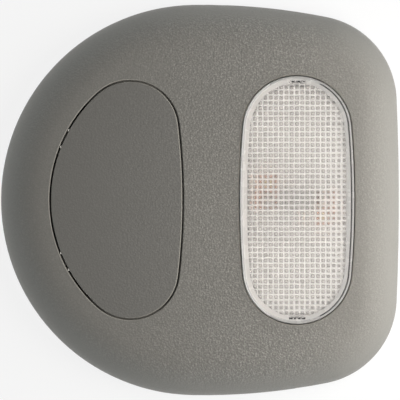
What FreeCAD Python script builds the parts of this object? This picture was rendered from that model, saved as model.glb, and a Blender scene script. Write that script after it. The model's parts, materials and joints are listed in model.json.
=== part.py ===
import FreeCAD, Part
import math
import os

import Sketcher

doc = FreeCAD.newDocument("InteriorLight")
sheet = doc.addObject("Spreadsheet::Sheet", "Sizes")

# Every driving size in mm, named once. Positions are from the middle of the rim plane,
# x to the right, y up the photograph, z out of the face.
TABLE = [
    ("overall_length", 211.0, "housing along x"),
    ("front_radius", 103.5, "round front end of the outline"),
    ("flank_radius", 330.0, "long sides of the outline"),
    ("flank_middle", 2.0, "x of the centre of the long sides"),
    ("corner_radius", 46.0, "rear corners of the outline"),
    ("rear_radius", 1200.0, "rear side of the outline"),
    ("face_height", 27.0, "face over the rim plane"),
    ("edge_roll", 22.5, "rolled edge of the face"),
    ("wall", 2.5, "skin of the housing"),
    ("frame_wall", 2.0, "walls of the lens well and the cover bay"),
    ("edge_break", 0.4, "broken edges of the two openings in the face"),
    ("cover_break", 0.4, "broken edge of the cover"),
    ("cover_front", 78.0, "front end of the cover's gap line"),
    ("cover_rear", 8.8, "rear side of the cover's gap line"),
    ("cover_front_radius", 74.7, "front end of the gap line"),
    ("cover_rear_radius", 342.0, "rear side of the gap line"),
    ("cover_corner_radius", 25.4, "corners of the gap line"),
    ("cover_gap", 0.9, "gap between cover and housing"),
    ("cover_thickness", 2.5, "cover plate"),
    ("ledge_width", 3.5, "seat of the cover"),
    ("ledge_thickness", 1.8, "seat of the cover"),
    ("ledge_front", 58.0, "the seat ends here, towards the hooks"),
    ("hook_spread", 63.8, "between the two hooks"),
    ("hook_width", 5.0, "one hook"),
    ("hook_reach", 5.5, "hook under the skin"),
    ("hook_depth", 1.8, "hook tongue"),
    ("hook_clearance", 0.5, "hook under the skin"),
    ("pivot_front", 71.0, "line the cover swings on, at the hooks"),
    ("snap_spread", 50.0, "between the two rear clips of the cover"),
    ("snap_width", 7.0, "one clip of the cover"),
    ("snap_depth", 7.0, "clip below the cover plate"),
    ("snap_thickness", 1.5, "clip of the cover"),
    ("snap_nose", 0.9, "nose of the clip"),
    ("snap_clearance", 0.4, "clip to the seat"),
    ("cover_rib_inset", 8.0, "stiffening rib under the cover"),
    ("cover_rib", 1.4, "stiffening rib under the cover"),
    ("cover_rib_depth", 3.0, "stiffening rib under the cover"),
    ("pip_spread", 8.6, "between the two pips beside a hook"),
    ("pip_width", 1.2, "locating pips in the gap"),
    ("pip_reach", 0.5, "locating pips in the gap"),
    ("lens_rear", 55.0, "middle of the lens from the rear end of the housing"),
    ("lens_width", 60.0, "gap line of the lens"),
    ("lens_length", 129.4, "gap line of the lens"),
    ("lens_end_radius", 28.5, "round ends of the gap line"),
    ("lens_gap", 0.6, "gap between lens and housing"),
    ("lens_proud", 1.2, "lens over the face"),
    ("lens_wall", 2.0, "skirt of the lens"),
    ("lens_plate", 3.0, "lens over the prisms"),
    ("lens_soft", 0.8, "rounded edge of the lens"),
    ("lens_rim", 0.3, "flat top of the lens's raised rim"),
    ("lens_dish", 0.6, "plate of the lens below its rim"),
    ("lens_border", 3.4, "smooth border round the prisms"),
    ("prism_pitch", 2.73, "prism grid"),
    ("prism_depth", 0.9, "prism grid"),
    ("prism_columns", 21.0, "prisms across the lens"),
    ("prism_rows", 46.0, "prisms along the lens"),
    ("tab_width", 7.4, "tabs at the ends of the lens"),
    ("tab_thickness", 1.6, "tabs at the ends of the lens"),
    ("tab_depth", 5.0, "tabs below the seat of the lens"),
    ("tab_nose", 0.5, "nose of a tab"),
    ("tab_clearance", 0.3, "tab in its slot"),
    ("seat_height", 14.0, "plane on which lens and well stand on the tray"),
    ("flange_thickness", 2.0, "flange of the tray"),
    ("tray_inset", 4.5, "mouth of the tray inside the gap line"),
    ("floor_inset", 9.0, "floor of the tray inside the gap line"),
    ("floor_height", 4.0, "upper side of the tray's floor"),
    ("tray_wall", 2.0, "wall and floor of the tray"),
    ("boss_out", 36.0, "tray screws from the middle of the lens"),
    ("boss_spread", 68.0, "between the tray screws along y"),
    ("boss_radius", 3.6, "screw bosses of the housing"),
    ("ear_radius", 4.6, "screw ears of the tray"),
    ("screw_radius", 1.15, "tray screw"),
    ("screw_bite", 5.0, "tray screw in its boss"),
    ("screw_head_radius", 2.9, "tray screw"),
    ("screw_head_height", 1.9, "tray screw"),
    ("screw_fit", 0.05, "screw in its boss"),
    ("screw_clearance", 0.35, "screw in its ear"),
    ("mount_front", 36.0, "front mounting holes, towards the front"),
    ("mount_spread", 92.0, "between the mounting holes along y"),
    ("mount_hole_radius", 2.5, "mounting holes"),
    ("lug_width", 15.0, "mounting lugs in the cover bay"),
    ("lug_thickness", 3.0, "mounting lugs in the cover bay"),
    ("post_radius", 5.5, "mounting posts of the tray"),
    ("bulb_length", 41.0, "festoon bulb over its tips"),
    ("bulb_height", 11.0, "axis of the bulb over the rim plane"),
    ("bulb_radius", 5.5, "glass"),
    ("glass_length", 25.0, "glass without its necks"),
    ("shoulder", 1.2, "tapered ends of the glass"),
    ("glass_wall", 0.6, "glass"),
    ("neck_radius", 3.3, "glass inside the caps"),
    ("neck_length", 1.6, "glass inside the caps"),
    ("cap_radius", 3.9, "caps"),
    ("cap_length", 8.0, "one cap over its tip"),
    ("cone_length", 2.6, "cone of a cap"),
    ("tip_radius", 1.8, "tip of a cap"),
    ("coil_radius", 0.5, "filament"),
    ("coil_length", 9.0, "filament"),
    ("lead_radius", 0.2, "leads of the filament"),
    ("strip", 0.6, "contact sheet"),
    ("contact_width", 9.0, "riser of a contact"),
    ("contact_rise", 12.5, "riser over the tray's floor"),
    ("contact_seat", 1.0, "riser from the thick end of the cone"),
    ("contact_fit", 0.02, "hole of the riser on the cone"),
    ("foot_length", 9.0, "foot of a contact, towards the bulb"),
    ("foot_side", 9.0, "foot of a contact, to the side of the riser"),
    ("lip_length", 2.4, "bent lip of a riser"),
    ("blade_width", 6.3, "blades of the contacts"),
    ("blade_reach", 36.5, "blade end from the middle of the lens"),
    ("blade_clearance", 0.3, "blade in the tray's wall"),
    ("rivet_radius", 1.4, "contact rivets"),
    ("rivet_head_radius", 2.3, "contact rivets"),
    ("rivet_head", 0.8, "contact rivets"),
    ("rib", 1.6, "ribs inside the housing"),
    ("rib_height", 5.0, "lower edge of the ribs over the rim plane"),
    ("tall", 60.0, "height of cutting blocks"),
]


class Size:
    """A number and the expression on the sheet that gives it."""

    def __init__(self, text, value):
        self.text = text
        self.value = float(value)

    def mixed(self, other, sign, value):
        return Size("(%s %s %s)" % (self.text, sign, as_size(other).text), value)

    def __add__(self, other):
        return self.mixed(other, "+", self.value + as_size(other).value)

    def __sub__(self, other):
        return self.mixed(other, "-", self.value - as_size(other).value)

    def __mul__(self, other):
        return self.mixed(other, "*", self.value * as_size(other).value)

    def __truediv__(self, other):
        return self.mixed(other, "/", self.value / as_size(other).value)

    def __neg__(self):
        return Size("(0 - %s)" % self.text, -self.value)


def as_size(thing):
    return thing if isinstance(thing, Size) else Size(repr(float(thing)), thing)


def root(size):
    return Size("sqrt(%s)" % size.text, math.sqrt(size.value))


class Names:
    pass


S = Names()
for row, (name, value, note) in enumerate(TABLE, 1):
    sheet.set("A%d" % row, name)
    sheet.set("B%d" % row, str(value))
    sheet.set("C%d" % row, note)
    sheet.setAlias("B%d" % row, name)
    setattr(S, name, Size("Sizes." + name, value))
doc.recompute()
S.lens_middle = S.overall_length / 2 - S.lens_rear

ZERO = as_size(0)


def bind(thing, prop, size):
    thing.setExpression(prop, as_size(size).text)


def new_body(name):
    return doc.addObject("PartDesign::Body", name)


def new_sketch(body, role, name, lift=None):
    sketch = body.newObject("Sketcher::SketchObject", name)
    plane = [o for o in body.Origin.OriginFeatures if o.Role == role][0]
    sketch.AttachmentSupport = [(plane, "")]
    sketch.MapMode = "FlatFace"
    if lift is not None:
        bind(sketch, "AttachmentOffset.Base.z", lift)
    return sketch


def driven(sketch, kind, places, size):
    """Adds a driving dimension and binds it to the sheet."""
    size = as_size(size)
    if kind in ("DistanceX", "DistanceY") and size.value < 0:
        places = places[2:] + places[:2]
        size = -size
    index = sketch.addConstraint(Sketcher.Constraint(kind, *places, size.value))
    sketch.setExpression("Constraints[%d]" % index, size.text)


def add_arc(sketch, cx, cy, radius, start, end):
    circle = Part.Circle(FreeCAD.Vector(cx, cy, 0), FreeCAD.Vector(0, 0, 1), radius)
    return sketch.addGeometry(Part.ArcOfCircle(circle, start, end), False)


def add_loop(sketch, arcs):
    """A closed loop of tangent arcs, counter-clockwise: centre x, centre y, radius of each."""
    count = len(arcs)
    turns = []
    for i, (cx, cy, radius) in enumerate(arcs):
        nx, ny, next_radius = arcs[(i + 1) % count]
        sign = 1.0 if radius > next_radius else -1.0
        turns.append(math.atan2(sign * (ny - cy), sign * (nx - cx)))
    for i, (cx, cy, radius) in enumerate(arcs):
        start = turns[i - 1]
        end = turns[i]
        while end <= start:
            end += 2 * math.pi
        add_arc(sketch, cx, cy, radius, start, end)
    for i in range(count):
        sketch.addConstraint(Sketcher.Constraint("Tangent", i, 2, (i + 1) % count, 1))


def housing_outline(sketch, inset):
    """Front arc, two flanks, two corners and the rear arc, moved in by inset."""
    half = S.overall_length / 2
    front_x = S.front_radius - half
    rear_x = half - S.rear_radius
    fx = front_x.value
    rx = rear_x.value
    mx = S.flank_middle.value
    fr = S.front_radius.value
    kr = S.flank_radius.value
    cr = S.corner_radius.value
    rr = S.rear_radius.value
    my = -math.sqrt((kr - fr) ** 2 - (mx - fx) ** 2)
    near = kr - cr
    far = rr - cr
    apart = math.hypot(rx - mx, my)
    along = (near ** 2 - far ** 2 + apart ** 2) / (2 * apart)
    aside = math.sqrt(near ** 2 - along ** 2)
    ux = (rx - mx) / apart
    uy = -my / apart
    cx = mx + ux * along + uy * aside
    cy = my + uy * along - ux * aside
    d = inset.value
    add_loop(sketch, [
        (rx, 0.0, rr - d),
        (cx, cy, cr - d),
        (mx, my, kr - d),
        (fx, 0.0, fr - d),
        (mx, -my, kr - d),
        (cx, -cy, cr - d),
    ])
    radii = [S.rear_radius, S.corner_radius, S.flank_radius, S.front_radius, S.flank_radius, S.corner_radius]
    for i, radius in enumerate(radii):
        driven(sketch, "Radius", (i,), radius - inset)
    for i, x in ((0, rear_x), (3, front_x)):
        sketch.addConstraint(Sketcher.Constraint("PointOnObject", i, 3, -1))
        driven(sketch, "DistanceX", (-1, 1, i, 3), x)
    for i in (2, 4):
        driven(sketch, "DistanceX", (-1, 1, i, 3), S.flank_middle)


def cover_outline(sketch, out):
    """Front arc, two corners and the rear arc of the cover's gap line, moved out by out."""
    front_x = S.cover_front_radius - S.cover_front
    rear_x = -S.cover_rear - S.cover_rear_radius
    fx = front_x.value
    rx = rear_x.value
    fr = S.cover_front_radius.value
    rr = S.cover_rear_radius.value
    cr = S.cover_corner_radius.value
    near = fr - cr
    far = rr - cr
    apart = rx - fx
    along = (near ** 2 - far ** 2 + apart ** 2) / (2 * apart)
    cx = fx + along
    cy = math.sqrt(near ** 2 - along ** 2)
    d = out.value
    add_loop(sketch, [
        (rx, 0.0, rr + d),
        (cx, cy, cr + d),
        (fx, 0.0, fr + d),
        (cx, -cy, cr + d),
    ])
    radii = [S.cover_rear_radius, S.cover_corner_radius, S.cover_front_radius, S.cover_corner_radius]
    for i, radius in enumerate(radii):
        driven(sketch, "Radius", (i,), radius + out)
    for i, x in ((0, rear_x), (2, front_x)):
        sketch.addConstraint(Sketcher.Constraint("PointOnObject", i, 3, -1))
        driven(sketch, "DistanceX", (-1, 1, i, 3), x)


def lens_outline(sketch, out):
    """Two long sides and two round ends of the lens's gap line, moved out by out."""
    half = S.lens_width / 2
    end = S.lens_length / 2 - S.lens_end_radius
    side = (half * half + end * end - S.lens_end_radius * S.lens_end_radius) / (
        S.lens_width - S.lens_end_radius * 2)
    mx = S.lens_middle.value
    ey = end.value
    sr = side.value
    er = S.lens_end_radius.value
    reach = sr - half.value
    d = out.value
    add_loop(sketch, [
        (mx - reach, 0.0, sr + d),
        (mx, ey, er + d),
        (mx + reach, 0.0, sr + d),
        (mx, -ey, er + d),
    ])
    for i, radius in enumerate([side, S.lens_end_radius, side, S.lens_end_radius]):
        driven(sketch, "Radius", (i,), radius + out)
    for i, y in ((1, end), (3, -end)):
        driven(sketch, "DistanceX", (-1, 1, i, 3), S.lens_middle)
        driven(sketch, "DistanceY", (-1, 1, i, 3), y)


def pad(body, sketch, length, name, middle=False):
    feature = body.newObject("PartDesign::Pad", name)
    feature.Profile = sketch
    feature.SideType = "Symmetric" if middle else "One side"
    feature.Length = as_size(length).value
    bind(feature, "Length", length)
    sketch.Visibility = False
    return feature


def column(name, outline, out, low, high):
    """A straight block on one of the outlines, between two heights."""
    body = new_body(name)
    sketch = new_sketch(body, "XY_Plane", name + "_outline", low)
    outline(sketch, as_size(out))
    pad(body, sketch, high - low, name + "_pad")
    return body


def banded(name, outline, levels):
    """A block with straight bands between the outline's levels: out and height of each."""
    body = new_body(name)
    sketches = []
    for i, (out, height) in enumerate(levels):
        sketch = new_sketch(body, "XY_Plane", "%s_level_%d" % (name, i + 1), as_size(height))
        outline(sketch, as_size(out))
        sketch.Visibility = False
        sketches.append(sketch)
    loft = body.newObject("PartDesign::AdditiveLoft", name + "_loft")
    loft.Profile = sketches[0]
    loft.Sections = sketches[1:]
    loft.Ruled = True
    return body


def quarter_turn(radius, bands):
    """Steps of a quarter round: how far in from the side and up from its start."""
    steps = []
    for i in range(bands + 1):
        angle = math.pi / 2 * i / bands
        steps.append((radius * (1 - math.cos(angle)), radius * math.sin(angle)))
    return steps


def finish_edges(body, kind, prop, size, wanted, name):
    """Rounds or breaks the edges that wanted picks, on the last feature of the body."""
    doc.recompute()
    base = body.Tip
    names = ["Edge%d" % (i + 1) for i, edge in enumerate(base.Shape.Edges) if wanted(edge)]
    feature = body.newObject("PartDesign::" + kind, name)
    feature.Base = (base, names)
    setattr(feature, prop, size.value)
    bind(feature, prop, size)
    doc.recompute()
    return feature


def edges_at(height):
    """A test for the edges that lie in the level plane at that height."""

    def wanted(edge):
        return abs(edge.BoundBox.ZMin - height.value) < 0.001 and abs(edge.BoundBox.ZMax - height.value) < 0.001

    return wanted


def box(name, x, y, z, length, width, height):
    """A box from its low corner."""
    feature = doc.addObject("Part::Box", name)
    for prop, size in (("Length", length), ("Width", width), ("Height", height)):
        bind(feature, prop, size)
    for axis, size in (("x", x), ("y", y), ("z", z)):
        bind(feature, "Placement.Base." + axis, size)
    return feature


def rod(name, x, y, z, radius, height):
    """A cylinder that stands on its low end."""
    feature = doc.addObject("Part::Cylinder", name)
    bind(feature, "Radius", radius)
    bind(feature, "Height", height)
    for axis, size in (("x", x), ("y", y), ("z", z)):
        bind(feature, "Placement.Base." + axis, size)
    return feature


def many_sided(name, sides, x, y, z, radius, height, turn=None):
    """A straight bar with a regular many-sided section, standing unless it is turned."""
    feature = doc.addObject("Part::Prism", name)
    feature.Polygon = sides
    if turn is not None:
        feature.Placement = FreeCAD.Placement(FreeCAD.Vector(), turn)
    bind(feature, "Circumradius", radius)
    bind(feature, "Height", height)
    for axis, size in (("x", x), ("y", y), ("z", z)):
        bind(feature, "Placement.Base." + axis, size)
    return feature


ALONG_X = FreeCAD.Rotation(FreeCAD.Vector(0, 1, 0), 90)


def rod_along_x(name, x, y, z, radius, length):
    feature = doc.addObject("Part::Cylinder", name)
    feature.Placement = FreeCAD.Placement(FreeCAD.Vector(), ALONG_X)
    bind(feature, "Radius", radius)
    bind(feature, "Height", length)
    for axis, size in (("x", x), ("y", y), ("z", z)):
        bind(feature, "Placement.Base." + axis, size)
    return feature


def joined(name, pieces):
    feature = doc.addObject("Part::MultiFuse", name)
    feature.Shapes = pieces
    feature.Refine = True
    return feature


def less(name, base, tool):
    feature = doc.addObject("Part::Cut", name)
    feature.Base = base
    feature.Tool = tool
    feature.Refine = True
    return feature


def shared(name, pieces):
    feature = doc.addObject("Part::MultiCommon", name)
    feature.Shapes = pieces
    feature.Refine = True
    return feature


def prism_profile(name, points, middle_y, width):
    """A straight bar along y from corner points in x and z, with its middle at middle_y."""
    body = new_body(name)
    sketch = new_sketch(body, "XZ_Plane", name + "_profile")
    count = len(points)
    for i in range(count):
        x0, z0 = points[i]
        x1, z1 = points[(i + 1) % count]
        first = FreeCAD.Vector(x0.value, z0.value, 0)
        last = FreeCAD.Vector(x1.value, z1.value, 0)
        sketch.addGeometry(Part.LineSegment(first, last), False)
    for i in range(count):
        sketch.addConstraint(Sketcher.Constraint("Coincident", i, 2, (i + 1) % count, 1))
    for i in range(count):
        driven(sketch, "DistanceX", (-1, 1, i, 1), points[i][0])
        driven(sketch, "DistanceY", (-1, 1, i, 1), points[i][1])
    pad(body, sketch, width, name + "_pad", middle=True)
    bind(body, "Placement.Base.y", middle_y)
    return body


TOP = S.tall
BELOW = -S.tall / 10

# The housing's solid form and its hollow.
FACE = S.face_height
SKIN = FACE - S.wall
form = column("housing_form", housing_outline, ZERO, ZERO, FACE)
finish_edges(form, "Fillet", "Radius", S.edge_roll, edges_at(FACE), "housing_form_roll")
core_levels = [(S.wall, BELOW)]
for inward, up in quarter_turn(S.edge_roll - S.wall, 3):
    core_levels.append((S.wall + inward, FACE - S.edge_roll + up))
core = banded("housing_core", housing_outline, core_levels)

cover_hole = S.cover_gap / 2
lens_hole = S.lens_gap / 2
bay_wall = column("bay_wall", cover_outline, cover_hole + S.frame_wall, ZERO, TOP)
well_wall = column("well_wall", lens_outline, lens_hole + S.frame_wall, S.seat_height, TOP)
boss_places = []
for side in (-1, 1):
    for end in (-1, 1):
        boss_places.append((S.lens_middle + S.boss_out * side, S.boss_spread / 2 * end))
kept = [bay_wall, well_wall]
for i, (x, y) in enumerate(boss_places):
    kept.append(rod("boss_%d" % (i + 1), x, y, S.seat_height, S.boss_radius, TOP - S.seat_height))

half_length = S.overall_length / 2
half_width = S.front_radius
rib_tall = TOP - S.rib_height
for end in (-1, 1):
    tag = "upper" if end > 0 else "lower"
    low = ZERO if end > 0 else -half_width
    kept.append(box("rib_bay_" + tag, -S.mount_front - S.rib / 2, low, S.rib_height, S.rib, half_width, rib_tall))
    kept.append(box("rib_well_" + tag, S.lens_middle - S.rib / 2, low, S.seat_height, S.rib, half_width, TOP))
    y = S.hook_spread / 4 * end - S.rib / 2
    kept.append(box("rib_front_" + tag, -half_length, y, S.rib_height, half_length - S.cover_front + S.rib,
                    S.rib, rib_tall))
    y = S.snap_spread / 2 * end - S.rib / 2
    kept.append(box("rib_middle_" + tag, -S.cover_rear * 2, y, S.seat_height, S.lens_middle, S.rib, TOP))
inner_walls = joined("inner_walls", kept)
hollow = less("housing_hollow", core, inner_walls)
shell = less("housing_shell", form, hollow)

# Openings in the shell. The bay keeps a ledge as the seat of the cover.
ledge_top = FACE - S.cover_thickness
ledge_low = ledge_top - S.ledge_thickness
bay_upper = column("bay_upper", cover_outline, cover_hole, ledge_top, TOP)
bay_lower = column("bay_lower", cover_outline, cover_hole, BELOW, ledge_low)
bay_through = column("bay_through", cover_outline, cover_hole - S.ledge_width, BELOW, TOP)
front_block = box("front_block", -half_length, -half_width, BELOW, half_length - S.ledge_front,
                  half_width * 2, TOP - BELOW)
bay_front = shared("bay_front", [column("bay_front_block", cover_outline, cover_hole, BELOW, TOP), front_block])
lens_block = column("lens_block", lens_outline, lens_hole, BELOW, TOP)

snap_face = S.cover_rear - cover_hole + S.ledge_width
brk = S.edge_break
bay_flare = banded("bay_flare", cover_outline, [(cover_hole, FACE - brk), (cover_hole + brk * 2, FACE + brk)])
lens_flare = banded("lens_flare", lens_outline, [(lens_hole, FACE - brk), (lens_hole + brk * 2, FACE + brk)])
cutters = [bay_upper, bay_lower, bay_through, bay_front, lens_block, bay_flare, lens_flare]
pivot = S.pivot_front
window = S.hook_width + S.pip_width * 2
for end in (-1, 1):
    tag = "upper" if end > 0 else "lower"
    cutters.append(box("hook_window_" + tag, -pivot - S.hook_reach * 2, S.hook_spread / 2 * end - window / 2,
                       S.seat_height, S.hook_reach * 3, window, SKIN - S.seat_height))
    relief = S.snap_width + S.snap_clearance * 4
    cutters.append(box("snap_relief_" + tag, -snap_face - S.snap_nose * 2, S.snap_spread / 2 * end - relief / 2,
                       S.seat_height, S.snap_nose * 4, relief, TOP))
for i, (x, y) in enumerate(boss_places):
    cutters.append(rod("boss_hole_%d" % (i + 1), x, y, BELOW, S.screw_radius + S.screw_fit,
                       S.seat_height + S.screw_bite + S.screw_fit * 10 - BELOW))
openings = joined("housing_openings", cutters)
opened = less("housing_opened", shell, openings)

lug_start = S.mount_spread / 2 - S.lug_width / 2
lugs = []
lug_holes = []
for end in (-1, 1):
    tag = "upper" if end > 0 else "lower"
    bar = box("lug_bar_" + tag, -S.mount_front - S.lug_width / 2, lug_start if end > 0 else -S.front_radius,
              ZERO, S.lug_width, S.front_radius - lug_start, S.lug_thickness)
    lugs.append(bar)
    lug_holes.append(rod("lug_hole_" + tag, -S.mount_front, S.mount_spread / 2 * end, BELOW,
                         S.mount_hole_radius, S.seat_height))
lug_bars = joined("lug_bars", lugs)
lug_trim = column("lug_trim", cover_outline, cover_hole + S.frame_wall / 2, BELOW, TOP)
lug_cut = shared("lug_cut", [lug_bars, lug_trim])
drilled = less("lugs_drilled", lug_cut, joined("lug_holes", lug_holes))
housing = joined("housing", [opened, drilled])

# The cover plate with its hooks, clips, rib and pips.
cover_plate = column("cover_plate", cover_outline, -cover_hole, ledge_top, FACE)
finish_edges(cover_plate, "Chamfer", "Size", S.cover_break, edges_at(FACE), "cover_plate_break")
rib_low = ledge_top - S.cover_rib_depth
rib_top = ledge_top + S.cover_thickness / 2
rib_outer = column("cover_rib_outer", cover_outline, -S.cover_rib_inset, rib_low, rib_top)
rib_inner = column("cover_rib_inner", cover_outline, -S.cover_rib_inset - S.cover_rib, BELOW, TOP)
rib_ring = less("cover_rib_ring", rib_outer, rib_inner)
cover_pieces = [cover_plate, rib_ring]
hook_top = SKIN - S.hook_clearance
hook_low = hook_top - S.hook_depth
rim_radius = S.cover_front_radius - cover_hole


def cover_edge(y):
    """How far the front edge of the cover plate reaches at that y."""
    return root(rim_radius * rim_radius - y * y) - S.cover_front_radius + S.cover_front


stem_front = cover_edge(S.hook_spread / 2 + S.hook_width / 2) - S.hook_clearance
stem_rear = stem_front - S.hook_depth
root_z = ledge_top + S.cover_thickness / 2
for end in (-1, 1):
    tag = "upper" if end > 0 else "lower"
    y = S.hook_spread / 2 * end
    cover_pieces.append(prism_profile("hook_" + tag, [
        (-stem_rear, root_z),
        (-stem_front, root_z),
        (-stem_front, hook_top),
        (-pivot - S.hook_reach, hook_top),
        (-pivot - S.hook_reach, hook_low),
        (-stem_rear, hook_low),
    ], y, S.hook_width))
    snap_out = -snap_face - S.snap_clearance
    cover_pieces.append(prism_profile("snap_" + tag, [
        (snap_out, root_z),
        (snap_out - S.snap_thickness, root_z),
        (snap_out - S.snap_thickness, ledge_top - S.snap_depth),
        (snap_out, ledge_top - S.snap_depth),
        (snap_out + S.snap_nose, ledge_top - S.snap_depth + S.snap_nose * 2),
        (snap_out + S.snap_nose, ledge_low - S.snap_nose * 1.5),
        (snap_out, ledge_low - S.snap_clearance),
    ], S.snap_spread / 2 * end, S.snap_width))
    for part in (-1, 1):
        spot = y + (S.pip_spread / 2) * part
        cover_pieces.append(box("pip_%s_%s" % (tag, "out" if part == end else "in"), -cover_edge(spot) - S.pip_reach,
                                spot - S.pip_width / 2, FACE - S.cover_thickness * 0.8,
                                S.pip_reach * 4, S.pip_width, S.cover_thickness * 0.4))
cover = joined("blanking_cover", cover_pieces)

# The lens: a cap with a raised rim, a skirt and a grid of prisms on its inner face.
lens_top = FACE + S.lens_proud
lens_levels = [(-lens_hole, S.seat_height)]
for inward, up in quarter_turn(S.lens_soft, 2):
    lens_levels.append((-lens_hole - inward, lens_top - S.lens_soft + up))
lens_form = banded("lens_form", lens_outline, lens_levels)
rim_inside = lens_hole + S.lens_soft + S.lens_rim
dish = banded("lens_dish", lens_outline, [(-rim_inside - S.lens_dish, lens_top - S.lens_dish),
                                          (S.lens_dish - rim_inside, lens_top + S.lens_dish)])
ceiling = lens_top - S.lens_plate
cell_top = ceiling + S.prism_depth


def rectangle(sketch, half_x, half_y):
    point = FreeCAD.Vector
    x = half_x.value
    y = half_y.value
    corners = [point(-x, -y, 0), point(x, -y, 0), point(x, y, 0), point(-x, y, 0)]
    for i in range(4):
        sketch.addGeometry(Part.LineSegment(corners[i], corners[(i + 1) % 4]), False)
    for i in range(4):
        sketch.addConstraint(Sketcher.Constraint("Coincident", i, 2, (i + 1) % 4, 1))
        sketch.addConstraint(Sketcher.Constraint("Vertical" if i % 2 else "Horizontal", i))
    driven(sketch, "DistanceX", (-1, 1, 1, 1), half_x)
    driven(sketch, "DistanceY", (-1, 1, 2, 1), half_y)
    driven(sketch, "DistanceX", (-1, 1, 0, 1), -half_x)
    driven(sketch, "DistanceY", (-1, 1, 0, 1), -half_y)


def saw_block(name, role, half_x, half_y, count):
    """A block whose top is a row of sharp ridges, below z 0 of its own frame."""
    body = new_body(name)
    sketch = new_sketch(body, "XY_Plane", name + "_base", -S.tall / 2)
    rectangle(sketch, half_x, half_y)
    pad(body, sketch, S.tall / 2, name + "_pad")
    groove = new_sketch(body, role, name + "_groove")
    half = count * S.prism_pitch / 2
    p = S.prism_pitch.value
    d = S.prism_depth.value
    x = -half.value
    over = 1.0 / 8
    point = FreeCAD.Vector
    wide = p / 2 * (1 + over)
    corners = [point(x - wide, d * over, 0), point(x, -d, 0), point(x + wide, d * over, 0)]
    for i in range(3):
        groove.addGeometry(Part.LineSegment(corners[i], corners[(i + 1) % 3]), False)
    for i in range(3):
        groove.addConstraint(Sketcher.Constraint("Coincident", i, 2, (i + 1) % 3, 1))
    half_wide = S.prism_pitch / 2 * (1 + over)
    driven(groove, "DistanceX", (-1, 1, 0, 1), -half - half_wide)
    driven(groove, "DistanceY", (-1, 1, 0, 1), S.prism_depth * over)
    driven(groove, "DistanceX", (-1, 1, 1, 1), -half)
    driven(groove, "DistanceY", (-1, 1, 1, 1), -S.prism_depth)
    driven(groove, "DistanceX", (-1, 1, 2, 1), half_wide - half)
    driven(groove, "DistanceY", (-1, 1, 2, 1), S.prism_depth * over)
    cut = body.newObject("PartDesign::Pocket", name + "_cut")
    cut.Profile = groove
    cut.SideType = "Symmetric"
    bind(cut, "Length", S.lens_length * 2)
    doc.recompute()
    row = body.newObject("PartDesign::LinearPattern", name + "_row")
    row.Originals = [cut]
    row.Direction = (groove, ["H_Axis"])
    row.Mode = "Extent"
    row.Occurrences = int(round(count.value)) + 1
    bind(row, "Length", count * S.prism_pitch)
    bind(row, "Occurrences", count + 1)
    body.Tip = row
    bind(body, "Placement.Base.x", S.lens_middle)
    bind(body, "Placement.Base.z", cell_top)
    doc.recompute()
    return body


columns = saw_block("prism_columns", "XZ_Plane", S.prism_columns * S.prism_pitch / 2, S.lens_length / 2,
                    S.prism_columns)
rows = saw_block("prism_rows", "YZ_Plane", S.lens_width / 2, S.prism_rows * S.prism_pitch / 2,
                 S.prism_rows)
grid_limit = column("grid_limit", lens_outline, -S.lens_border, BELOW, TOP)
pits = shared("prism_pits", [columns, rows, grid_limit])
skirt_hollow = column("skirt_hollow", lens_outline, -lens_hole - S.lens_wall, BELOW, ceiling)
tabs = []
for end in (-1, 1):
    tag = "upper" if end > 0 else "lower"
    outer = S.lens_length / 2 - lens_hole - S.tab_nose
    y = outer - S.tab_thickness if end > 0 else -outer
    low = S.seat_height - S.tab_depth
    tabs.append(box("tab_" + tag, S.lens_middle - S.tab_width / 2, y, low, S.tab_width, S.tab_thickness,
                    S.tab_depth + S.lens_wall))
    nose = doc.addObject("Part::Wedge", "tab_nose_" + tag)
    for prop, size in (("Xmin", ZERO), ("Xmax", S.tab_width), ("X2min", ZERO), ("X2max", S.tab_width),
                       ("Ymin", ZERO), ("Ymax", S.tab_nose), ("Zmin", ZERO), ("Zmax", S.tab_nose * 4),
                       ("Z2min", S.tab_nose), ("Z2max", S.tab_nose * 3)):
        bind(nose, prop, size)
    turn = 0 if end > 0 else 180
    nose.Placement = FreeCAD.Placement(FreeCAD.Vector(), FreeCAD.Rotation(FreeCAD.Vector(0, 0, 1), turn))
    bind(nose, "Placement.Base.x", S.lens_middle - S.tab_width / 2 * end)
    bind(nose, "Placement.Base.y", outer * end)
    bind(nose, "Placement.Base.z", low + S.tab_nose)
    tabs.append(nose)
lens_cap = less("lens_cap", less("lens_blank", lens_form, dish), skirt_hollow)
lens_shell = less("lens_shell", lens_cap, pits)
lens = joined("lens", [lens_shell] + tabs)

# The tray behind the lens.
flange_low = S.seat_height - S.flange_thickness
flange = column("tray_flange", lens_outline, lens_hole + S.frame_wall, flange_low, S.seat_height)


tray_out = banded("tray_out", lens_outline, [(S.tray_wall - S.floor_inset, S.floor_height - S.tray_wall),
                                             (S.tray_wall - S.tray_inset, S.seat_height)])
tray_in = banded("tray_in", lens_outline, [(-S.floor_inset, S.floor_height), (-S.tray_inset, S.seat_height)])
tray_pieces = [flange, tray_out]
arm = S.boss_out - S.lens_width / 2 + S.frame_wall
for i, (x, y) in enumerate(boss_places):
    start = x - arm if i >= 2 else x - S.ear_radius
    tray_pieces.append(box("ear_%d" % (i + 1), start, y - S.ear_radius, flange_low, arm + S.ear_radius,
                           S.ear_radius * 2, S.flange_thickness))
for end in (-1, 1):
    tag = "upper" if end > 0 else "lower"
    tray_pieces.append(rod("post_" + tag, S.lens_middle, S.mount_spread / 2 * end, ZERO, S.post_radius,
                           S.floor_height))

cone_start = S.bulb_length / 2 - S.cone_length
riser = cone_start + S.contact_seat
slope = (S.cap_radius - S.tip_radius) / S.cone_length
seat_radius = S.cap_radius - slope * S.contact_seat + S.contact_fit
blade_top = S.floor_height + S.strip
rivet_out = riser - S.foot_length / 2
foot_middle = S.contact_width / 2 + S.foot_side / 2

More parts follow.
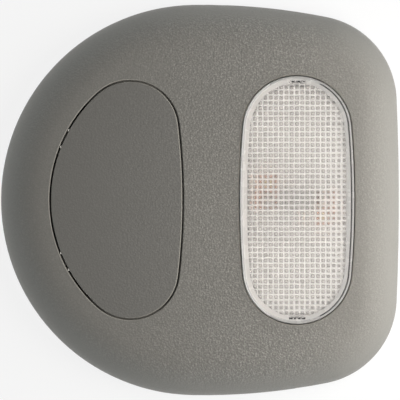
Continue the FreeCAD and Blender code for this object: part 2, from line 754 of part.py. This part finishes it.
tray_cut = [tray_in]
for i, (x, y) in enumerate(boss_places):
    tray_cut.append(rod("ear_hole_%d" % (i + 1), x, y, BELOW, S.screw_radius + S.screw_clearance, TOP))
for end in (-1, 1):
    tag = "upper" if end > 0 else "lower"
    tray_cut.append(rod("post_hole_" + tag, S.lens_middle, S.mount_spread / 2 * end, BELOW, S.mount_hole_radius, TOP))
    slot = S.tab_width + S.tab_clearance * 2
    inner = S.lens_length / 2 - lens_hole - S.tab_nose - S.tab_thickness - S.tab_clearance
    deep = S.tab_thickness + S.tab_nose + S.tab_clearance * 2
    tray_cut.append(box("tab_slot_" + tag, S.lens_middle - slot / 2, inner if end > 0 else -inner - deep,
                        BELOW, slot, deep, TOP))
    # the left contact lies towards plus y and the right one towards minus y
    side = end
    blade_y = -foot_middle * side
    wide = S.blade_width + S.blade_clearance * 2
    start = riser if side > 0 else -S.blade_reach
    tray_cut.append(box("blade_slot_" + tag, S.lens_middle + start, blade_y - wide / 2, S.floor_height,
                        S.blade_reach - riser, wide, S.strip + S.blade_clearance))
    tray_cut.append(rod("rivet_hole_" + tag, S.lens_middle + rivet_out * side, blade_y, BELOW, S.rivet_radius,
                        S.seat_height))
reflector = less("reflector", joined("tray_body", tray_pieces), joined("tray_cutters", tray_cut))

# Contacts, their rivets, the bulb and the tray screws.
contacts = []
rivets = []
for side, tag in ((-1, "left"), (1, "right")):
    middle = S.lens_middle
    foot_y = -foot_middle * side
    wide = S.contact_width + S.foot_side
    foot_low_y = -S.contact_width / 2 if side < 0 else -S.contact_width / 2 - S.foot_side
    inner_x = middle + (riser - S.foot_length) * side if side > 0 else middle - riser
    riser_x = middle + riser if side > 0 else middle - riser - S.strip
    lip_x = middle + riser if side > 0 else middle - riser - S.strip - S.lip_length
    blade_x = middle + riser if side > 0 else middle - S.blade_reach
    pieces = [
        box("foot_" + tag, inner_x, foot_low_y, S.floor_height, S.foot_length, wide, S.strip),
        box("riser_" + tag, riser_x, -S.contact_width / 2, S.floor_height, S.strip, S.contact_width, S.contact_rise),
        box("riser_foot_" + tag, riser_x, foot_low_y, S.floor_height, S.strip, wide, S.strip * 2),
        box("lip_" + tag, lip_x, -S.contact_width / 2, S.floor_height + S.contact_rise - S.strip,
            S.lip_length + S.strip, S.contact_width, S.strip),
        box("blade_" + tag, blade_x, foot_y - S.blade_width / 2, S.floor_height, S.blade_reach - riser,
            S.blade_width, S.strip),
    ]
    holes = joined("contact_holes_" + tag, [
        rod_along_x("cone_hole_" + tag, riser_x - S.strip, ZERO, S.bulb_height, seat_radius, S.strip * 3),
        rod("foot_hole_" + tag, middle + rivet_out * side, foot_y, ZERO, S.rivet_radius, S.bulb_height),
    ])
    contacts.append(less("contact_" + tag, joined("contact_sheet_" + tag, pieces), holes))
    x = middle + rivet_out * side
    under = S.floor_height - S.tray_wall
    rivets.append(joined("rivet_" + tag, [
        rod("rivet_shank_" + tag, x, foot_y, under, S.rivet_radius, S.tray_wall + S.strip + S.rivet_head / 2),
        rod("rivet_top_" + tag, x, foot_y, blade_top, S.rivet_head_radius, S.rivet_head),
    ]))
rivet_group = doc.addObject("Part::Compound", "contact_rivets")
rivet_group.Links = rivets

glass_half = S.glass_length / 2 - S.shoulder
mid_x = S.lens_middle
axis_z = S.bulb_height


def taper(name, start, side, wide, narrow, length):
    """A cone along x that narrows away from the middle of the bulb."""
    cone = doc.addObject("Part::Cone", name)
    cone.Placement = FreeCAD.Placement(FreeCAD.Vector(), FreeCAD.Rotation(FreeCAD.Vector(0, 1, 0), 90 * side))
    bind(cone, "Radius1", wide)
    bind(cone, "Radius2", narrow)
    bind(cone, "Height", length)
    bind(cone, "Placement.Base.x", mid_x + start * side)
    bind(cone, "Placement.Base.z", axis_z)
    return cone


neck_half = S.glass_length / 2 + S.neck_length
glass_solid = joined("glass_solid", [
    rod_along_x("glass_tube", mid_x - glass_half, ZERO, axis_z, S.bulb_radius, glass_half * 2),
    taper("glass_left", glass_half, -1, S.bulb_radius, S.neck_radius, S.shoulder),
    taper("glass_right", glass_half, 1, S.bulb_radius, S.neck_radius, S.shoulder),
    rod_along_x("glass_neck", mid_x - neck_half, ZERO, axis_z, S.neck_radius, neck_half * 2),
])
filament = joined("bulb_filament", [
    many_sided("filament_coil", 8, mid_x - S.coil_length / 2, ZERO, axis_z, S.coil_radius, S.coil_length, ALONG_X),
    many_sided("filament_lead", 6, mid_x - neck_half, ZERO, axis_z, S.lead_radius, neck_half * 2, ALONG_X),
])
glass_room = rod_along_x("glass_room", mid_x - glass_half, ZERO, axis_z, S.bulb_radius - S.glass_wall, glass_half * 2)
glass = less("bulb_glass", glass_solid, joined("glass_inside", [glass_room, filament]))
caps = []
for side, tag in ((-1, "left"), (1, "right")):
    start = S.bulb_length / 2 - S.cap_length
    straight = S.cap_length - S.cone_length
    tube_x = mid_x + start if side > 0 else mid_x - start - straight
    tube = rod_along_x("cap_tube_" + tag, tube_x, ZERO, axis_z, S.cap_radius, straight)
    cone = taper("cap_cone_" + tag, cone_start, side, S.cap_radius, S.tip_radius, S.cone_length)
    caps.append(less("bulb_cap_" + tag, joined("cap_form_" + tag, [tube, cone]), glass_solid))

screws = []
for i, (x, y) in enumerate(boss_places):
    head = many_sided("screw_head_%d" % (i + 1), 6, x, y, flange_low - S.screw_head_height,
                      S.screw_head_radius, S.screw_head_height)
    shank = rod("screw_shank_%d" % (i + 1), x, y, flange_low - S.screw_head_height / 2, S.screw_radius,
                S.screw_head_height / 2 + S.flange_thickness + S.screw_bite)
    screws.append(joined("screw_%d" % (i + 1), [head, shank]))
screw_group = doc.addObject("Part::Compound", "reflector_screws")
screw_group.Links = screws

doc.recompute()
NODES = [housing, cover, lens, reflector] + contacts + [rivet_group, glass] + caps + [filament, screw_group]
for thing in doc.Objects:
    if "Invalid" in thing.State or "Error" in thing.State:
        raise RuntimeError("%s is %s" % (thing.Name, thing.State))
os.makedirs("parts", exist_ok=True)
for node in NODES:
    if node.Shape.isNull() or not node.Shape.isValid():
        raise RuntimeError(node.Label + " has no valid shape")
    node.Shape.exportStep("parts/" + node.Label + ".step")
    print(node.Label, len(node.Shape.Solids), "solids", len(node.Shape.Faces), "faces", round(node.Shape.Volume, 1))
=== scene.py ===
import json
import math

import bmesh
import bpy
from mathutils import Matrix, Vector


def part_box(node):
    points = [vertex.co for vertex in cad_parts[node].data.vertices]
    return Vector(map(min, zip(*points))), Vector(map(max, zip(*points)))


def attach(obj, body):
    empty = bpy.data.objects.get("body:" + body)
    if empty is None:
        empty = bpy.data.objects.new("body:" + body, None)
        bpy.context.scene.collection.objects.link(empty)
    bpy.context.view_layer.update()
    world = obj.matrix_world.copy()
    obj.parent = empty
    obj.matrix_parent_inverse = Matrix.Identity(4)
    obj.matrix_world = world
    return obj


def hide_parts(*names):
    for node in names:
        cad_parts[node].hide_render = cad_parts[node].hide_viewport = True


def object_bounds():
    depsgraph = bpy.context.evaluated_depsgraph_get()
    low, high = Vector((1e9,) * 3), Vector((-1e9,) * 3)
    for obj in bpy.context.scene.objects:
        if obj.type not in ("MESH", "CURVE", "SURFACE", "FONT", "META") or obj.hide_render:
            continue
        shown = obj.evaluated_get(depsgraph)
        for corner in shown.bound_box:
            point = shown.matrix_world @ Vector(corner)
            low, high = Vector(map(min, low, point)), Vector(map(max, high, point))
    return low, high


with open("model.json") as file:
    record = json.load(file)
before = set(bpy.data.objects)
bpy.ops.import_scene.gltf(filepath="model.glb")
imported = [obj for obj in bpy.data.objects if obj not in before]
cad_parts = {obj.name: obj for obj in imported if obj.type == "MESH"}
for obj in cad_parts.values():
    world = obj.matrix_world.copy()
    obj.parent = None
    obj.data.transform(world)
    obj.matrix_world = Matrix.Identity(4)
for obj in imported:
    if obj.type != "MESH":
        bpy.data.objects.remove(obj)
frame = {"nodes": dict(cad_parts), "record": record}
cad_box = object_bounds()

MM = 0.001
MERGE_REACH = 0.0005 * MM

# The housing's face and the cover in it.
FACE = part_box("housing")[1].z
EDGE_BREAK = 0.4 * MM
PIP_TOP = FACE - 1.0 * MM
PIP_RAISED = FACE - 0.15 * MM
PIP_REACH = 0.05 * MM

# The lens: its rear half takes a clearer edge from REAR_EDGE on, measured from its middle.
LENS_LOW, LENS_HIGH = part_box("lens")
LENS_MIDDLE = (LENS_LOW + LENS_HIGH) / 2
PRISM_PITCH = 2.73 * MM
PLATE_DEPTH = 4 * MM
RIM_HEIGHT = 0.6 * MM
BORDER_WIDTH = 1.9 * MM
REAR_EDGE = 12 * MM
LENS_SLOT = 58.6 * MM
LENS_IOR = 1.49
BULB_IOR = 1.1

# Camera, lamp and surroundings.
VIEW_HEIGHT = 1.1
VIEW_WIDTH = 0.2132
VIEW_NEAR = 0.01
KEY_PLACE = (0.20, -0.015, 0.20)
KEY_SIZE = 0.30
KEY_WATTS = 1.08
KEY_COLOUR = (1.0, 0.975, 0.935)
LOW_GLOW = 5.5
OVERHEAD_GLOW = 0.05
COOL_WHITE = (0.93, 0.99, 1.0, 1.0)
WHITE = (1.0, 1.0, 1.0, 1.0)
FLOOR_SIZE = 3.0
FLOOR_DROP = 0.1 * MM
FLOOR_GREY = (0.9, 0.9, 0.9, 1.0)
FLOOR_SHOWN = 0.85


# Shader maths as plain arithmetic.

class Value:
    """The output of a node, on which arithmetic adds Math nodes."""

    def __init__(self, finish, socket):
        self.finish = finish
        self.socket = socket

    def math(self, operation, first, second):
        return self.finish.node("ShaderNodeMath", {"operation": operation}, {0: first, 1: second})

    def __add__(self, other):
        return self.math("ADD", self, other)

    def __radd__(self, other):
        return self.math("ADD", other, self)

    def __sub__(self, other):
        return self.math("SUBTRACT", self, other)

    def __rsub__(self, other):
        return self.math("SUBTRACT", other, self)

    def __mul__(self, other):
        return self.math("MULTIPLY", self, other)

    def __rmul__(self, other):
        return self.math("MULTIPLY", other, self)

    def __pos__(self):
        """The size of the value, without its sign."""
        return self.math("ABSOLUTE", self, 0.0)

    def __mod__(self, other):
        return self.math("FLOORED_MODULO", self, other)


class Graph:
    """A node tree and one way to add a node to it."""

    def __init__(self, tree):
        self.tree = tree
        self.tree.nodes.clear()

    def node(self, kind, settings=None, sockets=None, out=0):
        """Adds a node: its settings come first, then the values or links of its sockets."""
        made = self.tree.nodes.new(kind)
        for key, value in (settings or {}).items():
            setattr(made, key, value)
        for key, value in (sockets or {}).items():
            if isinstance(value, Value):
                self.tree.links.new(value.socket, made.inputs[key])
            else:
                made.inputs[key].default_value = value
        if made.outputs:
            return Value(self, made.outputs[out])

    def steps(self, value, low, high, result_low=0.0, result_high=1.0):
        """A soft step from result_low to result_high as the value goes from low to high."""
        settings = {"interpolation_type": "SMOOTHSTEP"}
        sockets = {0: value, 1: low, 2: high, 3: result_low, 4: result_high}
        return self.node("ShaderNodeMapRange", settings, sockets)

    def mix(self, factor, first, second):
        """The first colour where the factor is 0 and the second where it is 1."""
        settings = {"data_type": "RGBA"}
        return self.node("ShaderNodeMix", settings, {0: factor, 6: first, 7: second}, out=2)

    def camera_or_mirrored(self):
        """1 for rays from the camera and for those that metal or glass sends on, otherwise 0."""
        rays = (self.node("ShaderNodeLightPath", out="Is Camera Ray")
                + self.node("ShaderNodeLightPath", out="Is Glossy Ray")
                + self.node("ShaderNodeLightPath", out="Is Transmission Ray"))
        return self.node("ShaderNodeMath", {"operation": "MINIMUM"}, {0: rays, 1: 1.0})


class Finish(Graph):
    """A material and the nodes that make it."""

    def __init__(self, name):
        self.material = bpy.data.materials.new(name)
        self.material.use_nodes = True
        super().__init__(self.material.node_tree)
        self.place = self.node("ShaderNodeTexCoord", out="Object")

    def noise(self, size, detail=2.0, roughness=0.5):
        """Soft cloudy noise from 0 to 1 whose blobs are about that size in metres."""
        sockets = {"Vector": self.place, "Scale": 1 / size, "Detail": detail, "Roughness": roughness}
        return self.node("ShaderNodeTexNoise", {}, sockets)

    def cells(self, size, smooth):
        """Rounded pebbles of about that size in metres: low in the middle and high at the borders."""
        settings = {"feature": "SMOOTH_F1"}
        sockets = {"Vector": self.place, "Scale": 1 / size, "Smoothness": smooth}
        return self.node("ShaderNodeTexVoronoi", settings, sockets, out="Distance")

    def along(self, axis):
        """Where a point lies along x, y or z, in metres."""
        return self.node("ShaderNodeSeparateXYZ", {}, {0: self.place}, out="XYZ".index(axis))

    def bump(self, height, strength, depth):
        """A normal that tilts with the height, whose full range is that deep in metres."""
        return self.node("ShaderNodeBump", {}, {"Height": height, "Strength": strength, "Distance": depth})

    def done(self, **sockets):
        """Ends in a Principled shader, in whose socket names an underscore stands for a space."""
        named = {key.replace("_", " "): value for key, value in sockets.items()}
        return self.shaded(self.node("ShaderNodeBsdfPrincipled", {}, named))

    def shaded(self, shader):
        """Ends in that shader and gives the material."""
        self.node("ShaderNodeOutputMaterial", {}, {"Surface": shader})
        return self.material


def grey(level, warmth):
    """A linear colour from its brightness, a little redder and less blue with warmth."""
    return (level * (1 + warmth * 0.5), level, level * (1 - warmth), 1.0)


# Finishes.

def grained_plastic(name, pale, light, dark, grain_depth):
    """Warm grey moulded plastic with a pebbled, speckled grain, deepest on the face between cover and lens."""
    finish = Finish(name)
    x = finish.along("X")
    pebble = finish.cells(1.1 * MM, smooth=0.3)
    fine = finish.noise(0.8 * MM, roughness=0.6)
    cloud = finish.noise(35 * MM)
    grain = pebble * 0.9 + fine * 0.5
    on_face = finish.steps(finish.along("Z"), FACE - 9 * MM, FACE - 1 * MM, 0.25, 1.0)
    to_rear = finish.steps(x, -80 * MM, 40 * MM, 0.35, 1.0)
    to_edge = finish.steps(x, 45 * MM, 85 * MM, 1.0, 0.45)
    depth = on_face * to_rear * to_edge
    tone = finish.steps(grain + cloud * 0.25, 0.25, 1.05)
    speck = finish.steps(fine, 0.50, 0.64)
    return finish.done(
        Base_Color=finish.mix(speck * depth, finish.mix(tone * depth, light, dark), pale),
        Roughness=finish.steps(grain, 0.2, 0.9, 0.50, 0.62),
        Normal=finish.bump(grain * depth, 1.0, grain_depth),
        Specular_IOR_Level=0.45,
    )


def highlight_plastic(name, light, dark):
    """The same plastic made pale and smooth, as a painted highlight on narrow edges and pips."""
    finish = Finish(name)
    mottle = finish.noise(2.5 * MM, detail=3.0)
    return finish.done(
        Base_Color=finish.mix(mottle, light, dark),
        Roughness=finish.steps(mottle, 0.3, 0.7, 0.35, 0.5),
        Specular_IOR_Level=0.45,
    )


def clear_lens():
    """Clear moulded plastic with a polished outside."""
    finish = Finish("clear_lens")
    haze = finish.noise(9 * MM, detail=3.0)
    return finish.done(
        Base_Color=(0.97, 0.96, 0.95, 1.0),
        Roughness=finish.steps(haze, 0.3, 0.8, 0.14, 0.20),
        Specular_IOR_Level=0.25,
        Transmission_Weight=1.0,
        IOR=LENS_IOR,
    )


def lens_prisms():
    """The prisms under the lens, painted bright along their ridges and darker in the middle of each pit:
    painted light and shade.
    """
    finish = Finish("lens_prisms")
    x = finish.along("X") - LENS_MIDDLE.x
    y = finish.along("Y") - LENS_MIDDLE.y
    across = +((x + PRISM_PITCH / 2) % PRISM_PITCH - PRISM_PITCH / 2)
    along = +(y % PRISM_PITCH - PRISM_PITCH / 2)
    # towards the rear the light fills the pits, and the dark middles are smaller
    wide = finish.steps(x, 8 * MM, 24 * MM, 0.31 * PRISM_PITCH, 0.23 * PRISM_PITCH)
    soft = 0.12 * PRISM_PITCH
    row = finish.steps(along, wide - soft, wide + soft, 1.0, 0.0)
    pit = row * finish.steps(across, wide - soft, wide + soft, 1.0, 0.0)
    # over the bulb the dark middles of a row run together
    over_bulb = finish.steps(+y, 16 * MM, 36 * MM, 0.4, 0.0) * finish.steps(x, 4 * MM, 14 * MM, 1.0, 0.0)
    cloud = finish.noise(12 * MM, detail=3.0)
    # painted light: the lower end is painted so bright that its pits hardly show
    from_lower_end = finish.steps(y, -56 * MM, -46 * MM, 0.3, 1.0)
    shade = (pit + (row - pit) * over_bulb) * (0.75 + cloud * 0.5) * from_lower_end
    # painted shade: the slots for the two end tabs are painted dark through the last rows
    slot = finish.steps(+x, 4.2 * MM, 4.8 * MM, 1.0, 0.0) * finish.steps(+y, LENS_SLOT, LENS_SLOT + 0.3 * MM)
    # ridge white and pit grey are the painted light and shade of the prism grid
    ridge_white = (0.99, 0.97, 0.95, 1.0)
    pit_grey = (0.60, 0.575, 0.55, 1.0)
    painted_slot_shade = (0.03, 0.03, 0.03, 1.0)
    colour = finish.mix(shade, ridge_white, pit_grey)
    return finish.done(
        Base_Color=finish.mix(slot * (0.1 + pit * 0.8), colour, painted_slot_shade),
        Roughness=finish.steps(cloud, 0.3, 0.7, 0.15, 0.25),
        Alpha=1 - pit * 0.46,
        Transmission_Weight=0.4,
        IOR=LENS_IOR,
    )


def lens_border(name, front, rear):
    """The smooth milky edge of the lens, painted darker to the rear as shade, with painted shade where the end
    slots lie under it.
    """
    finish = Finish(name)
    x = finish.along("X") - LENS_MIDDLE.x
    y = +(finish.along("Y") - LENS_MIDDLE.y)
    slot = (finish.steps(+x, 4.0 * MM, 4.6 * MM, 1.0, 0.0)
            * finish.steps(y, 60.8 * MM, 61.1 * MM) * finish.steps(y, 61.9 * MM, 62.2 * MM, 1.0, 0.0))
    cloud = finish.noise(7 * MM, detail=3.0)
    fine = finish.noise(0.9 * MM)
    # the cloud is random haze; the step along x is painted shade, darker to the rear
    haze_and_rear_shade = cloud * 0.3 + finish.steps(x, -22 * MM, 24 * MM, 0.7, 0.0)
    hazy_and_shaded = finish.mix(haze_and_rear_shade, rear, front)
    # painted shade where the end slots lie under the border
    painted_slot_shade = (0.04, 0.04, 0.04, 1.0)
    return finish.done(
        Base_Color=finish.mix(slot * finish.steps(fine, 0.35, 0.55), hazy_and_shaded, painted_slot_shade),
        Roughness=finish.steps(cloud, 0.3, 0.7, 0.18, 0.30),
        Normal=finish.bump(fine, 0.1, 0.03 * MM),
        Transmission_Weight=0.05,
        IOR=LENS_IOR,
    )


def lens_skirt():
    """The lens's side walls and tabs, clear with a drag-mark haze."""
    finish = Finish("lens_skirt")
    cloud = finish.noise(5 * MM, detail=3.0)
    return finish.done(
        Base_Color=finish.mix(cloud, (0.86, 0.85, 0.84, 1.0), (0.94, 0.93, 0.92, 1.0)),
        Roughness=finish.steps(cloud, 0.3, 0.7, 0.10, 0.25),
        Transmission_Weight=0.6,
        IOR=LENS_IOR,
    )


def white_moulding():
    """The tray's white plastic, a little yellowed."""
    finish = Finish("white_moulding")
    cloud = finish.noise(18 * MM, detail=3.0)
    fine = finish.noise(0.7 * MM)
    return finish.done(
        Base_Color=finish.mix(cloud, (0.86, 0.83, 0.78, 1.0), (0.92, 0.90, 0.87, 1.0)),
        Roughness=finish.steps(cloud, 0.3, 0.7, 0.38, 0.5),
        Normal=finish.bump(fine, 0.15, 0.05 * MM),
    )


def bare_copper():
    """Copper strip, dulled in patches."""
    finish = Finish("bare_copper")
    dull = finish.steps(finish.noise(4 * MM, detail=4.0, roughness=0.6), 0.42, 0.62)
    lines = finish.noise(0.5 * MM)
    return finish.done(
        Base_Color=finish.mix(dull, (0.68, 0.39, 0.27, 1.0), (0.40, 0.22, 0.15, 1.0)),
        Metallic=1.0,
        Roughness=finish.steps(dull + lines * 0.4, 0.0, 1.4, 0.25, 0.55),
    )


def plated(name, light, dark, rough):
    """Plated metal with faint drawing marks and a few dull spots."""
    finish = Finish(name)
    spots = finish.steps(finish.noise(1.5 * MM, detail=4.0, roughness=0.7), 0.5, 0.7)
    return finish.done(
        Base_Color=finish.mix(spots, light, dark),
        Metallic=1.0,
        Roughness=finish.steps(spots, 0.0, 1.0, rough, rough + 0.2),
    )


def bulb_glass():
    """Thin clear glass with a trace of grey inside."""
    finish = Finish("bulb_glass")
    smoke = finish.noise(6 * MM)
    return finish.done(
        Base_Color=finish.mix(smoke, (0.97, 0.97, 0.96, 1.0), (0.90, 0.90, 0.90, 1.0)),
        Roughness=finish.steps(smoke, 0.3, 0.7, 0.0, 0.05),
        Transmission_Weight=1.0,
        IOR=BULB_IOR,
    )


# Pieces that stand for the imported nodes, with smooth curved faces.
# A face is told by how far its normal points up, or to the rear.

LEVEL = 0.999
NEARLY_LEVEL = 0.99
SLOPING = 0.1
TO_FRONT = -0.2
EDGE_LEAST = 0.3
EDGE_MOST = 0.95
PIP_LEAST = 0.9


def smooth_copy(node, name, body, finish, sharp_degrees):
    """A merged copy of a node: faces that meet at less than the angle are shaded as one."""
    mesh = frame["nodes"][node].data.copy()
    mesh.name = name
    shape = bmesh.new()
    shape.from_mesh(mesh)
    bmesh.ops.remove_doubles(shape, verts=shape.verts, dist=MERGE_REACH)
    limit = math.radians(sharp_degrees)
    for face in shape.faces:
        face.smooth = True
    for edge in shape.edges:
        edge.smooth = edge.is_manifold and edge.calc_face_angle(0.0) < limit
    shape.to_mesh(mesh)
    shape.free()
    mesh.materials.clear()
    mesh.materials.append(finish)
    piece = bpy.data.objects.new(name, mesh)
    bpy.context.scene.collection.objects.link(piece)
    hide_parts(node)
    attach(piece, body)
    slot_of(node)
    return piece


def dress_lens(lens, finishes):
    """Gives the lens its finishes: clear on top, milky round the edge with painted shade on its rim and painted
    light on its shoulder, prisms below, clear side walls.
    """
    for finish in finishes:
        lens.data.materials.append(finish)
    clear_slot, prism_slot, border_slot, skirt_slot, rim_slot, shoulder_slot = range(6)
    shape = bmesh.new()
    shape.from_mesh(lens.data)
    plate = [face for face in shape.faces
             if face.normal.z > LEVEL and FACE < face.calc_center_median().z < LENS_HIGH.z - RIM_HEIGHT / 2]
    others = set(shape.faces) - set(plate)
    inset = bmesh.ops.inset_region(shape, faces=plate, thickness=BORDER_WIDTH, use_even_offset=True)
    plate_edge = inset["faces"]
    for face in shape.faces:
        middle = face.calc_center_median()
        if middle.z > LENS_HIGH.z - PLATE_DEPTH and -NEARLY_LEVEL < face.normal.z < -SLOPING:
            face.material_index = prism_slot
        elif face in plate_edge:
            face.material_index = border_slot
        elif face in others and middle.z > FACE and face.normal.z > SLOPING:
            # faces not turned to the front take the rim's darker copy of the edge finish, painted shade;
            # front-facing ones take clear glass at the rear, otherwise the shoulder's paler copy, painted light
            if face.normal.x > TO_FRONT:
                face.material_index = rim_slot
            elif middle.x > LENS_MIDDLE.x + REAR_EDGE:
                face.material_index = clear_slot
            else:
                face.material_index = shoulder_slot
        elif face in others:
            face.material_index = skirt_slot
    shape.to_mesh(lens.data)
    shape.free()


def paint_edge_highlights(piece, finish):
    """Gives the narrow broken edges at the face the paler finish, a painted highlight."""
    piece.data.materials.append(finish)
    for face in piece.data.polygons:
        if FACE - EDGE_BREAK < face.center.z < FACE and EDGE_LEAST < face.normal.z < EDGE_MOST:
            face.material_index = len(piece.data.materials) - 1


def raise_pips(cover, finish):
    """Brings the four locating pips in the cover's gap up to just under the face, with tops painted pale as a
    highlight.
    """
    cover.data.materials.append(finish)
    shape = bmesh.new()
    shape.from_mesh(cover.data)
    tops = [face for face in shape.faces
            if face.normal.z > PIP_LEAST and abs(face.calc_center_median().z - PIP_TOP) < PIP_REACH]
    for part in bmesh.ops.extrude_face_region(shape, geom=tops)["geom"]:
        if isinstance(part, bmesh.types.BMFace):
            part.material_index = len(cover.data.materials) - 1
            part.smooth = False
            for vertex in part.verts:
                vertex.co.z = PIP_RAISED
    bmesh.ops.delete(shape, geom=tops, context="FACES_ONLY")
    shape.to_mesh(cover.data)
    shape.free()


def slot_of(node):
    """The material slot that the record gives a node."""
    for entry in frame["record"]["subparts"]:
        if entry["node"] == node:
            return entry["material_slot"]


plastic = grained_plastic(
    "housing_plastic",
    pale=grey(0.268, 0.08),
    light=grey(0.202, 0.08),
    dark=grey(0.160, 0.08),
    grain_depth=0.4 * MM,
)
cover_plastic = grained_plastic(
    "cover_plastic",
    pale=grey(0.193, 0.07),
    light=grey(0.164, 0.07),
    dark=grey(0.136, 0.07),
    grain_depth=0.3 * MM,
)
# Paler copy of the plastic: a painted highlight on the broken edges of housing and cover.
painted_edge_highlight = highlight_plastic("painted_edge_highlight", grey(0.30, 0.10), grey(0.23, 0.11))
# Near-white copy of the plastic: a painted highlight on the pips' tops.
painted_pip_highlight = highlight_plastic("painted_pip_highlight", grey(0.92, 0.04), grey(0.80, 0.05))
clear = clear_lens()
prisms = lens_prisms()
# Three copies of the lens edge finish: the rim's darker one is painted shade, the shoulder's paler one painted
# light.
border = lens_border("lens_border", (0.72, 0.685, 0.66, 1.0), (0.37, 0.365, 0.36, 1.0))
rim = lens_border("lens_rim", (0.50, 0.48, 0.465, 1.0), (0.26, 0.255, 0.25, 1.0))
shoulder = lens_border("lens_shoulder", (0.92, 0.89, 0.87, 1.0), (0.26, 0.255, 0.25, 1.0))
skirt = lens_skirt()
white = white_moulding()
copper = bare_copper()
brass = plated("rivet_brass", (0.62, 0.45, 0.20, 1.0), (0.40, 0.28, 0.13, 1.0), 0.3)
nickel = plated("cap_nickel", (0.72, 0.71, 0.69, 1.0), (0.50, 0.49, 0.47, 1.0), 0.15)
wire = plated("filament_wire", (0.30, 0.29, 0.28, 1.0), (0.16, 0.15, 0.15, 1.0), 0.4)
zinc = plated("screw_zinc", (0.60, 0.60, 0.58, 1.0), (0.42, 0.42, 0.40, 1.0), 0.3)
glass = bulb_glass()

paint_edge_highlights(smooth_copy("housing", "housing_skin", "base", plastic, 32), painted_edge_highlight)
cover = smooth_copy("blanking_cover", "cover_skin", "cover", cover_plastic, 25)
paint_edge_highlights(cover, painted_edge_highlight)
raise_pips(cover, painted_pip_highlight)
dress_lens(smooth_copy("lens", "lens_moulding", "lens", clear, 32), (prisms, border, skirt, rim, shoulder))
for node, name, finish, sharp_degrees in (
        ("reflector", "reflector_moulding", white, 30),
        ("contact_left", "contact_strip_left", copper, 30),
        ("contact_right", "contact_strip_right", copper, 30),
        ("contact_rivets", "rivet_pair", brass, 30),
        ("bulb_glass", "bulb_envelope", glass, 50),
        ("bulb_cap_left", "cap_left", nickel, 40),
        ("bulb_cap_right", "cap_right", nickel, 40),
        ("bulb_filament", "filament_line", wire, 50),
        ("reflector_screws", "tray_screws", zinc, 30)):
    smooth_copy(node, name, "base", finish, sharp_degrees)


# Floor, light and camera.

def pale_floor():
    """Matt under the object, and beside it seen as nearly white with a trace of the shadow."""
    finish = Finish("pale_floor")
    matt = finish.node("ShaderNodeBsdfDiffuse", {}, {"Color": FLOOR_GREY})
    white_card = finish.node("ShaderNodeEmission", {}, {"Color": WHITE, "Strength": 1.0})
    from_middle = finish.node("ShaderNodeVectorMath", {"operation": "LENGTH"}, {0: finish.place}, out="Value")
    beside = finish.steps(from_middle, 80 * MM, 95 * MM)
    shown = finish.camera_or_mirrored() * beside * FLOOR_SHOWN
    return finish.shaded(finish.node("ShaderNodeMixShader", {}, {0: shown, 1: matt, 2: white_card}))


shape = bmesh.new()
bmesh.ops.create_grid(shape, x_segments=1, y_segments=1, size=FLOOR_SIZE,
                      matrix=Matrix.Translation((0, 0, cad_box[0][2] - FLOOR_DROP)))
floor_mesh = bpy.data.meshes.new("floor")
shape.to_mesh(floor_mesh)
shape.free()
floor_mesh.materials.append(pale_floor())
floor = bpy.data.objects.new("floor", floor_mesh)
bpy.context.scene.collection.objects.link(floor)


# A soft round lamp to the right, aimed at the middle of the object, that no polished face mirrors.
disc = bpy.data.lights.new("key_right", "AREA")
disc.shape = "DISK"
disc.size = KEY_SIZE
disc.color = KEY_COLOUR
disc.energy = KEY_WATTS
lamp = bpy.data.objects.new("key_right", disc)
lamp.location = KEY_PLACE
lamp.rotation_euler = (-Vector(KEY_PLACE)).to_track_quat("-Z", "Y").to_euler()
lamp.visible_camera = False
lamp.visible_glossy = False
bpy.context.scene.collection.objects.link(lamp)

# White for the camera and for what metal and glass show; the light itself is a cool glow low all round.
world = bpy.data.worlds.new("studio")
world.use_nodes = True
bpy.context.scene.world = world
sky = Graph(world.node_tree)
rise = sky.node("ShaderNodeSeparateXYZ", {}, {0: sky.node("ShaderNodeTexCoord", out="Generated")}, out=2)
above = sky.steps(rise, 0.08, 0.20, LOW_GLOW, OVERHEAD_GLOW)
below = sky.steps(rise, -0.10, -0.02, 0.1, 1.0)
shown = sky.camera_or_mirrored()
strength = shown + (1 - shown) * (above * below)
colour = sky.mix(shown, COOL_WHITE, WHITE)
light = sky.node("ShaderNodeBackground", {}, {"Color": colour, "Strength": strength})
sky.node("ShaderNodeOutputWorld", {}, {"Surface": light})

eye = bpy.data.cameras.new("camera")
eye.sensor_fit = "HORIZONTAL"
eye.angle = 2 * math.atan(VIEW_WIDTH / 2 / VIEW_HEIGHT)
eye.clip_start = VIEW_NEAR
camera = bpy.data.objects.new("camera", eye)
camera.location = (0.0, 0.0, VIEW_HEIGHT)
bpy.context.scene.collection.objects.link(camera)
bpy.context.scene.camera = camera
bpy.context.scene.view_settings.view_transform = "Standard"
